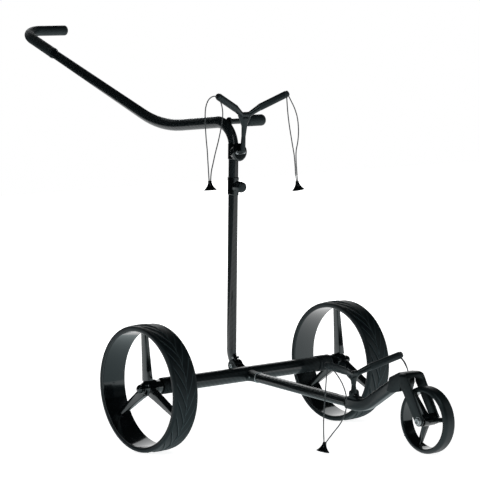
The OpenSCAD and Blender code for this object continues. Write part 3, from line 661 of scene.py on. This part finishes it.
def makeTyre(name, sign):
    half, edge = wheel["width"] / 2, tread["band"]
    outline = []
    for k in range(-24, 25):
        x = edge * k / 24
        outline.append((x, wheel["radius"] - 0.9 * (abs(x) / edge) ** 2.2))
    for t in quarter(8)[1:]:  # both shoulders
        outline.append((edge + 6.5 * math.sin(t), wheel["radius"] - 4.2 + 3.3 * math.cos(t)))
        outline.insert(0, (-edge - 6.5 * math.sin(t), wheel["radius"] - 4.2 + 3.3 * math.cos(t)))
    tail = [(half, 137), (half - 0.4, 134), (half - 1.4, 132.6), (half - 4, 133), (half - 4, 137)]
    outline = [(-x, r) for x, r in reversed(tail)] + outline + tail
    # places along one chevron's pitch, close together at its raised line
    marks = (0, 0.022, 0.044, 0.1, 0.2, 0.3, 0.4, 0.478, 0.5, 0.522, 0.544, 0.6, 0.7, 0.8, 0.9, 0.978)
    pitch = 2 * math.pi * wheel["radius"] / tread["chevrons"]
    rows = [(i + m) * pitch for i in range(tread["chevrons"]) for m in marks]
    verts, ridgeHighlight = [], []
    centre = at(sign * wheel["x"], 0, wheel["radius"])
    for s in rows:
        for x, r in outline:
            turn = (s - tread["slope"] * min(abs(x), edge)) / wheel["radius"]
            p = (s / pitch + (0.5 if x > 0 else 0.0)) % 1.0
            # the raised lines and the line round the middle carry a painted highlight weight for the rubber's colour
            drop, lineHighlight = 0.0, 0.0
            if r > tread["root"] and abs(x) < edge:
                fade = min(1.0, max(0.0, (edge - abs(x)) / 3))
                onLine = p < 0.03 or p > 0.97
                drop = tread["depth"] * fade * (1 - p) if not onLine else -tread["rib"] * fade
                lineHighlight = fade if onLine else 0.0
                if abs(x) < 0.9:  # the line round the middle
                    drop, lineHighlight = -tread["rib"], 1.0
            rr = (r - drop - (tread["rib"] if r > tread["root"] else 0)) * mm
            verts.append(centre + Vector((x * mm, rr * math.cos(turn), rr * math.sin(turn))))
            ridgeHighlight.append(lineHighlight)
    n, m = len(rows), len(outline)
    faces = [(i * m + k, i * m + (k + 1) % m, ((i + 1) % n) * m + (k + 1) % m, ((i + 1) % n) * m + k)
             for i in range(n) for k in range(m)]
    made = build(name, verts, faces, None, 40)
    made.data.attributes.new("ridgeHighlight", "FLOAT", "POINT").data.foreach_set("value", ridgeHighlight)
    return made


def makeSpoke(centre, inner, outer, w0, w1, d0, d1, angle):
    radial = direction(angle)
    cross = direction(angle + 90)
    verts = []
    for r, w, d in ((inner, w0, d0), (inner + (outer - inner) * 0.22, w0 * 0.86, d0 * 0.95), (outer, w1, d1),
                    (outer + 3, w1 + 5, d1 + 3)):
        for sx, sc in ((-1, -1), (1, -1), (1, 1), (-1, 1)):
            verts.append(centre + radial * r * mm + cross * sc * w / 2 * mm + Vector((sx * d / 2 * mm, 0, 0)))
    faces = [(0, 1, 2, 3), (15, 14, 13, 12)]
    for i in range(3):
        for k in range(4):
            n = (k + 1) % 4
            faces.append((4 * i + k, 4 * i + 4 + k, 4 * i + 4 + n, 4 * i + n))
    return bevel(build("spoke", verts, faces), 1.6, 3)


def makeWheel(name, side):
    sign = 1 if side == "left" else -1
    centre = at(sign * wheel["x"], 0, wheel["radius"])
    out = (sign, 0, 0)
    rim = lathe("rim", [(132, -31), (131.4, -30.3), (131.2, -29), (130.9, 0), (131.2, 29), (131.4, 30.3), (132, 31),
                        (134, 31.2), (137, 30), (137, -30), (134, -31.2)], centre, out, 192)
    hub = lathe("hub", [(8, 4), (14, 4), (14, -4), (8, -4), (8, -26), (14, -26), (14, -33.6), (15.6, -34), (16, -33.4),
                        (16, -19), (16.6, -18), (17.4, -18), (18, -17.2), (18, 5), (17, 7), (15, 8.4), (13.6, 10),
                        (12.6, 14.6), (12, 15.6), (10.7, 16), (10.7, 8), (7, 8), (7, 4)], centre, out, 96)
    spoke = makeSpoke(centre, wheel["hub"] - 4, wheel["opening"] - 1.5, wheel["rootWidth"], wheel["tipWidth"],
                      wheel["rootDepth"], wheel["tipDepth"], 90)
    spoke = repeat(spoke, wheel["spokes"], centre, "wheel")
    body = join(name, [rim, hub, spoke])
    place(body, "wheel", side + "_wheel", "wheel_plastic", side + "_wheel")
    place(makeTyre(side + "Tyre", sign), "tyre", side + "_wheel", "tyre_rubber", side + "_tyre")
    q = wheel["button"]
    arc = [(q * math.cos(t), 20 + q * math.sin(t)) for t in quarter(16)]
    ball = lathe(side + "Button", [(0, 12.5), (9.8, 12.5), (10.4, 13.1)] + arc[:-1] + [(0, 20 + q)], centre, out, 64)
    place(ball, "gloss", side + "_button", "button_gloss", side + "_button")


def makeNose():
    centre = at(0, nose["y"], nose["radius"])
    r, half, q = nose["radius"], nose["width"] / 2, nose["round"]
    arc = [(r - q + q * math.cos(t), half - q + q * math.sin(t)) for t in quarter(10)]
    crown = [(r, x) for x in (-5, -2, 2, 5)]
    profile = [(a, -b) for a, b in reversed(arc)] + crown + arc
    bead = nose["opening"]
    profile += [(bead + 2.2, half), (bead + 0.6, half - 0.6), (bead + 0.4, half - 2), (64.5, half - 2.2),
                (64.5, 2.2 - half), (bead + 0.4, 2 - half), (bead + 0.6, 0.6 - half), (bead + 2.2, -half)]
    tyre = lathe("frontTyre", profile, centre, (1, 0, 0), 144, 50)
    place(tyre, "smoothTyre", "front_wheel", "tyre_rubber", "front_tyre")
    h = half - 2.2
    rim = lathe("rim", [(bead, -h), (bead - 0.6, 0), (bead, h), (64.4, h), (64.4, -h)], centre, (1, 0, 0), 144)
    hub = lathe("hub", [(9.5, 17), (12.2, 17), (13, 16.2), (13, -16.2), (12.2, -17), (9.5, -17), (9.5, -11),
                        (6, -11), (6, 11), (9.5, 11)], centre, (1, 0, 0), 64)
    spoke = makeSpoke(centre, 9.5, bead - 1, 14, 9, 11, 8, nose["firstSpoke"])
    spoke = repeat(spoke, nose["spokes"], centre, "wheel")
    place(join("frontWheel", [rim, hub, spoke]), "wheel", "front_wheel", "wheel_plastic", "front_wheel")


for side in ("left", "right"):
    makeWheel(side + "Wheel", side)
makeNose()
print("wheels made")


def screw(origin, axis, head, height, socket, sides=6):
    profile = [(0, 0), (head, 0), (head, height * 0.55), (head * 0.93, height * 0.85), (head * 0.78, height),
               (socket * 1.25, height), (socket * 1.1, height * 0.93), (0, height * 0.93)]
    body = lathe("screw", profile, origin, axis, 40, 30)
    hollow = [(0, height * 0.35), (socket, height * 0.35), (socket, height + 1), (0, height + 1)]
    return boolean(body, lathe("socket", hollow, origin, axis, sides, 20), sharp=30)


def screwAt(name, spots, head, height, socket):
    return join(name, [screw(p, a, head, height, socket) for p, a in spots], 30)


def makeAxleEnds():
    for side, sign in (("left", 1), ("right", -1)):
        profile = [(6.02, 178), (15.3, 178), (15.3, 213), (17.6, 213), (18.9, 213), (19, 213.5), (19, 218.4),
                   (18.4, 219), (17.4, 219.4), (17.4, 252), (16.9, 252.5), (6.02, 252.5)]
        core = lathe("core", profile, at(0, 0, axle["height"]), (sign, 0, 0), 72)
        spot = at(sign * axle["rib"], 0, axle["height"])
        rib = lathe("rib", [(16.8, 0), (18.6, 0.2), (19, 0.7), (19, 2.0), (18.6, 2.5), (16.8, 2.7)], spot,
                    (sign, 0, 0), 72)
        rib = repeat(rib, axle["ribs"], spot, "plastic", 0.0, (sign * axle["pitch"], 0, 0))
        place(join(side + "AxleSleeve", [core, rib]), "plastic", "chassis", "black_plastic", side + "_axle_sleeve")


tee = {"y": -8, "z": 142, "depth": 12, "width": 15, "power": 2.4, "flare": 2.2, "reach": 16, "length": 36,
       "screw": (-15, -27, 139.5)}


def makeTee():
    base = at(0, tee["y"], tee["z"])
    path = [base + boomDown * d * mm for d in (0, 10, 20, 30, tee["length"] - 2, tee["length"] - 0.6, tee["length"])]

    def shape(s):
        flare = max(0.0, 1 - s / mm / tee["reach"]) * tee["flare"]
        lip = 0.7 if s / mm > tee["length"] - 0.3 else 0.0
        return oval(tee["depth"] + flare - lip, tee["width"] + flare * 1.6 - lip, tee["power"])

    def ringShape(s):  # both edges of the ring are broken
        edge = 0.25 if s < 0.1 * mm or s > 2.1 * mm else 0
        return oval(tee["depth"] + 0.2 - edge, tee["width"] + 0.2 - edge, tee["power"])

    place(sweep("teeSocket", path, shape), "cast", "chassis", "black_casting", "tee_socket")
    ring = sweep("teeRing", [boomStart - boomDown * d * mm for d in (2.25, 2, 0.3, 0.05)], ringShape)
    place(ring, "steel", "chassis", "bright_steel", "tee_ring")
    small = screwAt("teeScrew", [(at(*tee["screw"]), (-1, 0, 0))], 2.4, 1.6, 1.1)
    place(small, "steel", "chassis", "bright_steel", "tee_screw")


# the mast's foot bends forwards round this centre, and the fold bolt lies on the bend
foot = {"centre": (3.1786, 195.0), "bend": 50, "fold": -39.5, "screw": (40, -20)}


def onFoot(radius, angle):
    t = math.radians(angle)
    return foot["centre"][0] + radius * math.cos(t), foot["centre"][1] + radius * math.sin(t)


def bandOutline(inner, outer, first, last, steps=20):
    angles = [first + (last - first) * k / steps for k in range(steps + 1)]
    return [onFoot(outer, t) for t in angles] + [onFoot(inner, t) for t in reversed(angles)]


def disc(y, z, r, steps=36):
    turns = [2 * math.pi * k / steps for k in range(steps)]
    return [(y + r * math.cos(t), z + r * math.sin(t)) for t in turns]


def makeFoot():
    fold = onFoot(foot["bend"], foot["fold"])
    arc = [at(0, *onFoot(foot["bend"], -38 + 44.46 * k / 24)) for k in range(25)]
    arc += [onMast(200.8) + mastUp * k * mm for k in (0.4, 1)]

    def elbowShape(s):  # thickens from the pivot up to the tube
        t = max(0.0, min(1.0, (s / mm - 14) / 20))
        return oval(12.6 + 1.3 * t, 7.6 + 1.8 * t, 2.3 - 0.3 * t)

    pivot = plate("pivot", disc(*fold, 12.4), -7.6, 7.6, 0)
    elbow = cast("mastFoot", [sweep("elbow", arc, elbowShape), pivot], 0.7, 4)
    place(elbow, "gloss", "mast", "black_casting", "mast_foot")
    saddle = [plate("saddle", bandOutline(36.5, 63.5, -92, -68), -12.4, 12.4, 0)]
    for outline in (bandOutline(37.5, 62.5, -70, foot["fold"]), disc(*fold, 13.8)):
        saddle += [plate("cheek", outline, x0, x1, 0) for x0, x1 in ((8.2, 12), (-12, -8.2))]
    place(cast("footBracket", saddle, 0.8, 3), "cast", "chassis", "black_casting", "foot_bracket")
    bolts = screwAt("foldBolt", [(at(s * 12, *fold), (s, 0, 0)) for s in (1, -1)], 5, 3, 2.4)
    place(bolts, "steel", "chassis", "bright_steel", "fold_bolt")
    spot = onFoot(*foot["screw"])
    small = screwAt("footScrews", [(at(s * 7.7, *spot), (s, 0, 0)) for s in (1, -1)], 3.2, 2, 1.6)
    place(small, "steel", "mast", "bright_steel", "foot_screw")


fork = {"half": 26.3, "slot": 20.8, "slotCorner": 8, "shoulder": 10, "head": 21.3}


def makeFork():
    half, q = fork["half"], fork["shoulder"]
    side = [(-549, 173.5), (-562, 173.5), (-568, 171), (-571, 167.5), (-612, 78), (-613.6, 72), (-612, 66),
            (-607.5, 61.8), (-602, 60.4), (-596, 61.8), (-591.8, 66.5), (-549, 150)]
    body = plate("frontFork", side, -half, half, 0)
    slot = plate("slot", [(-540, 50), (-540, 162), (-640, 162), (-640, 50)], -fork["slot"], fork["slot"], 0)
    mod = slot.modifiers.new("round", "BEVEL")
    mod.width, mod.segments = fork["slotCorner"] * mm, 6
    mod.limit_method, mod.angle_limit = "ANGLE", math.radians(60)
    boolean(body, bake(slot))
    for s in (-1, 1):  # round both shoulders, seen from the front
        rim = [(s * (half + 1), 163.5), (s * (half + 1), 175), (s * (half - q), 175), (s * (half - q), 173.5)]
        rim += [(s * (half - q + q * math.sin(t)), 163.5 + q * math.cos(t)) for t in quarter(10)[1:]]
        work = bmesh.new()
        face = work.faces.new([work.verts.new(at(x, -540, z)) for x, z in rim])
        made = bmesh.ops.extrude_face_region(work, geom=[face])
        moved = [v for v in made["geom"] if isinstance(v, bmesh.types.BMVert)]
        bmesh.ops.translate(work, verts=moved, vec=(0, -0.11, 0))
        bmesh.ops.recalc_face_normals(work, faces=work.faces)
        mesh = bpy.data.meshes.new("shoulder")
        work.to_mesh(mesh)
        work.free()
        boolean(body, link("shoulder", mesh))
    bevel(body, 0.9, 3, 32)
    place(body, "cast", "chassis", "black_casting", "front_fork")
    block = [(-548.6, 173), (-543, 173.2), (-512, 161.5), (-500, 130.5), (-516, 127.4), (-541, 132), (-548.6, 148)]
    head = plate("armHead", block, -fork["head"], fork["head"], 1.8, 4)
    place(head, "cast", "chassis", "black_casting", "arm_head")
    axis = at(0, nose["y"], nose["radius"])
    shaft = lathe("shaft", [(0, -27), (4, -27), (4, 27), (0, 27)], axis, (1, 0, 0), 32)
    washers = lathe("washer", [(4.2, 26.3), (9.4, 26.3), (9.4, 27.2), (9, 27.6), (4.2, 27.6)], axis, (1, 0, 0), 48)
    twin = mirrored(washers, "washer")
    heads = [screw(axis + Vector((s * 27.4 * mm, 0, 0)), (s, 0, 0), 7.6, 4.4, 3.9) for s in (-1, 1)]
    bolt = join("frontAxleBolt", [shaft, washers, twin] + heads, 30)
    place(bolt, "steel", "chassis", "bright_steel", "front_axle_bolt")


clamps = {"mast": 584, "rest": 664, "wall": 1.6, "lobes": 8, "lobeRing": 9.4, "screwGap": 10.5}
peg = {"y": 22, "z": 734.1, "sleeve": 8}


def clampShell(low, high):
    path = [onMast(low), onMast((low + high) / 2), onMast(high)]
    return sweep("shell", path, oval(tube["depth"] + clamps["wall"], tube["width"] + clamps["wall"]))


def makeLock():
    mid = onMast(clamps["mast"])
    saddle = clampShell(562, 606)
    flange = lathe("flange", [(0, -30), (22, -30), (22, 30), (0, 30)], mid, mastFront, 64)
    boolean(saddle, flange, "INTERSECT")
    neck = lathe("neck", [(0, 10), (10.5, 10), (9.8, 20), (0, 20)], mid, mastFront, 48)
    saddle = cast("mastClamp", [saddle, neck], 0.7, 3)
    # bored just inside the tube's skin, so the spigot slides through
    bore = sweep("bore", [onMast(540), mid, onMast(640)], oval(tube["depth"] - 0.6, tube["width"] - 0.6))
    boolean(saddle, bore, sharp=40)
    place(saddle, "gloss", "mast", "black_plastic", "mast_clamp")
    profile = [(0, 14.6), (3.9, 14.6), (3.9, 20.3), (11.2, 20.3), (12, 21), (12, 33), (11.4, 35.4), (9.6, 37),
               (6.5, 37.5), (0, 37.7)]
    lobes = [lathe("knobCore", profile, mid, mastFront, 64)]
    u = Vector((1, 0, 0))
    w = mastFront.cross(u)
    for k in range(clamps["lobes"]):
        t = 2 * math.pi * k / clamps["lobes"]
        lobes.append(lathe("lobe", [(0, 21.2), (3.4, 21.6), (3.6, 22.5), (3.6, 31), (2.6, 33.5), (0, 34.4)],
                           mid + (u * math.cos(t) + w * math.sin(t)) * clamps["lobeRing"] * mm, mastFront, 20))
    place(cast("lockKnob", lobes, 0.55, 3), "plastic", "knob", "black_plastic", "lock_knob")


def makeRestClamp():
    spot = onMast(clamps["rest"])
    band = clampShell(646, 683)
    profile = [(0, 8), (17, 8), (20.4, 18), (21, 19.2), (21, 23), (20, 24.6), (18.4, 25), (0, 25)]
    face = lathe("face", profile, spot, mastFront, 72)
    ear = hull([(at(s, y, clamps["rest"]), r) for x, y, r in ((4.2, -29, 5.2), (5, -24, 6)) for s in (-x, x)])
    clamp = cast("restClamp", [band, face, ear], 0.7, 3)
    # room for the rest's tongue
    slot = plate("slot", [(-38, 655), (-38, 690), (-27.3, 690), (-27.3, 655)], -5.3, 5.3, 0)
    boolean(clamp, slot, sharp=40)
    place(clamp, "gloss", "handle", "black_casting", "rest_clamp")
    spots = [(spot + mastFront * 24.9 * mm + Vector((s * clamps["screwGap"] * mm, 0, 0)), mastFront) for s in (-1, 1)]
    small = screwAt("clampScrews", spots, 4.4, 2.8, 1.8)
    place(small, "steel", "handle", "bright_steel", "rest_clamp_screws")


def makePeg():
    origin = at(0, peg["y"], peg["z"])
    profile = [(0, 7.6), (9.6, 7.6), (10.4, 8.4), (10.4, 11.4), (9.4, 12.4), (6.9, 12.8), (6.5, 13.4), (6.5, 60),
               (5, 60.5), (5, 105), (0, 105)]
    rod = lathe("accessoryPeg", profile, origin, (1, 0, 0), 64)
    place(rod, "plastic", "handle", "black_plastic", "accessory_peg")
    q = peg["sleeve"]
    arc = [(5.5 + q * math.cos(t), 106 + q * math.sin(t)) for t in quarter(10)]
    profile = [(5.05, 60), (9.6, 60), (12, 61.2), (13.1, 63.2), (13.5, 66)] + arc
    profile += [(0, 114), (0, 105.2), (5.05, 105.2)]
    place(lathe("pegSleeve", profile, origin, (1, 0, 0), 72), "soft", "handle", "soft_rubber", "peg_sleeve")


makeAxleEnds()
makeTee()
makeFoot()
makeFork()
makeLock()
makeRestClamp()
makePeg()
print("fittings made")


rest = {"sleeve": 8.25, "core": 5.2, "cap": 7.0, "groove": 0.2}


def makeRest(name, body, pin, neck, end, tongue):
    pin, neck, tip = Vector(pin), Vector(neck), Vector(end)
    parts = []
    for s in (-1, 1):
        far = neck.lerp(tip, 0.36)
        elbow = at(s * far.x, far.y, far.z)
        edge = at(s * 13, neck.lerp(tip, 0.1).y, neck.z + 1.5)
        low = pin.lerp(neck, 0.66)
        parts.append(hull([(edge, 6.0), (elbow, 7.8)]))
        parts.append(hull([(elbow, 5.2), (at(s * tip.x, tip.y, tip.z), rest["core"])]))
        parts.append(hull([(at(s * 1, low.y, low.z), 4.2), (at(s * 15, neck.y, neck.z - 1), 4.2),
                           (at(0, neck.y, neck.z - 2), 4.2)]))
    parts.append(hull([(at(s * 13, neck.y, neck.z + 0.5), 6.0) for s in (-1, 1)]))
    waist = pin.lerp(neck, 0.4)
    middle = [(at(s * 0.6, waist.y, waist.z), 4.6) for s in (-1, 1)]
    parts.append(hull([(at(s * 1.6, pin.y, pin.z), tongue - 0.7) for s in (-1, 1)] + middle))
    parts.append(hull(middle + [(at(s * 4, neck.y, neck.z - 9), 4.8) for s in (-1, 1)]))
    place(cast(name, parts, 0.8, 5), "cast", body, "black_casting", body)
    first = body.split("_")[0]
    q, g, c = rest["sleeve"], rest["groove"], rest["cap"]
    u = (tip - neck).normalized()
    start = neck.lerp(tip, 0.32) + u * 4
    length = (tip - start).length + 1
    rings = []
    for k in range(3):  # three shallow grooves near the sleeve's end
        d = length - 6 + k * 1.9
        rings += [(q, d), (q - g, d + 0.4), (q - g, d + 0.8), (q, d + 1.2)]
    profile = [(5.25, 0), (q - 1.6, 0), (q - 0.5, 0.5), (q, 1.8)] + rings[:-1] + [
        (q, length - 0.8), (q - 0.7, length), (5.25, length)]
    caps = []
    for side, s in (("left", 1), ("right", -1)):
        axis = Vector((s * u.x, u.y, u.z))
        sleeve = lathe(name + side.capitalize() + "Sleeve", profile, at(s * start.x, start.y, start.z), axis, 56, 40)
        place(sleeve, "soft", body, "soft_rubber", first + "_sleeve_" + side)
        caps.append(lathe("cap", [(0, 1.05), (c, 1.05), (c + 0.2, 1.6), (c + 0.1, 4.6), (c - 0.8, 6.1), (c - 2.6, 6.9),
                                  (0, 7.1)], at(s * tip.x, tip.y, tip.z), axis, 40))
    place(join(name + "CordEnds", caps), "plastic", body, "black_plastic", first + "_cord_ends")


def makeRestBase():
    sole = [(-396, 100), (-396, 103), (-386, 109.5), (-380, 111.5), (-358, 111.5), (-356, 104), (-356, 100)]
    ear = [(-378.5, 105), (-378.5, 119), (-376, 124), (-372, 125.5), (-368, 124), (-365.5, 119), (-365.5, 105)]
    parts = [plate("sole", sole, -10, 10, 0), plate("ear", ear, 5.3, 10, 0), plate("ear", ear, -10, -5.3, 0)]
    place(cast("lowerRestBase", parts, 0.7, 2), "cast", "chassis", "black_casting", "lower_rest_base")


makeRest("upperRest", "upper_rest", (0, -33.5, 664), (0, -49, 747), (99, -83, 789), 6)
makeRest("lowerRest", "lower_rest", (0, -372, 119), (0, -374, 161), (105, -413, 192), 6.5)
makeRestBase()
print("bag rests made")


# these CAD nodes are shown as they are, with a material of their own
shown = {"steel": ["right_stub_axle", "left_stub_axle", "front_spacers", "spigot", "grip_core", "right_bearings",
                   "left_bearings", "front_bearings"],
         "cast": ["lower_rest_pin", "upper_rest_pin"]}
for look, names in shown.items():
    for name in names:
        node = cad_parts[name]
        node.data.materials.clear()
        node.data.materials.append(looks[look])
for name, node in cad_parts.items():
    if not node.hide_render and not any(name in names for names in shown.values()):
        print("CAD node still shown:", name)


# each lamp has its power, width, height and place in metres
light = {"world": 1.0, "dome": 3.4, "openWidth": 24, "openTop": 40, "floorGlow": 0.9, "glowRadius": 0.42,
         "glowLevel": 0.65,
         "lamps": {"top": (13, 0.7, 0.7, (-1.2, -2.0, 2.6)), "left": (6, 0.4, 2.0, (-2.7, -1.2, 1.3)),
                   "rear": (16, 1.8, 0.5, (0.6, 2.6, 2.2)), "right": (6, 0.3, 2.0, (2.6, -2.2, 1.1))}}


def makeStage():
    mesh = bpy.data.meshes.new("floor")
    mesh.from_pydata([(-30, -30, 0), (30, -30, 0), (30, 30, 0), (-30, 30, 0)], [], [(0, 1, 2, 3)])
    floor = link("floor", mesh)
    made, tree, shader = startMaterial("paleFloor")
    spots = addNode(tree, "ShaderNodeTexNoise", {"Scale": 0.6})
    tone = addNode(tree, "ShaderNodeMix", {0: spots.outputs["Fac"], 6: srgb("#fdfefe"), 7: srgb("#fbfcfc")},
                   data_type="RGBA")
    wire(tree, shader, {"Base Color": tone.outputs[2], "Roughness": 0.9, "Emission Color": (1, 1, 1, 1),
                        "Emission Strength": light["floorGlow"]})
    mesh.materials.append(made)
    floor.visible_glossy = False
    wide = light["glowRadius"] / mm
    glow = lathe("floorGlow", [(0, 0), (wide, 0), (wide, -2), (0, -2)], at(-50, -80, -2), (0, 0, 1), 96)
    glow.data.materials.append(glowing("floorSheet", light["glowLevel"]))
    glow.visible_camera = False
    glow.visible_shadow = False
    # a black dome with a low gap behind the trolley, seen only in reflections
    verts = []
    for e in range(0, 91, 5):
        for k in range(72):
            t = math.radians(51.3 + 5 * k)
            c = math.cos(math.radians(e)) * light["dome"]
            verts.append((c * math.cos(t), c * math.sin(t), math.sin(math.radians(e)) * light["dome"] + 0.01))
    faces = [(j * 72 + k, j * 72 + (k + 1) % 72, j * 72 + 72 + (k + 1) % 72, j * 72 + 72 + k) for j in range(18)
             for k in range(72) if j * 5 >= light["openTop"] or min(k + 0.5, 71.5 - k) * 5 > light["openWidth"]]
    dome = build("dome", verts, faces, None, 60, False)
    dome.data.materials.append(grain("blackCloth", "#030404", "#060708", 0.9, 2.0, 0.1))
    dome.visible_camera = False
    dome.visible_shadow = False
    world = bpy.data.worlds.new("studio")
    world.use_nodes = True
    wire(world.node_tree, world.node_tree.nodes["Background"], {0: (1, 1, 1, 1), 1: light["world"]})
    bpy.context.scene.world = world
    for name, (power, width, height, spot) in light["lamps"].items():
        data = bpy.data.lights.new(name + "Light", "AREA")
        data.shape = "RECTANGLE"
        data.energy, data.size, data.size_y = power, width, height
        lamp = link(name + "Light", data)
        lamp.location = spot
        lamp.rotation_euler = (Vector((0, 0, 0.4)) - Vector(spot)).to_track_quat("-Z", "Y").to_euler()
    bpy.context.scene.view_settings.view_transform = "Standard"
    bpy.context.scene.view_settings.look = "None"


makeStage()
print("stage set")
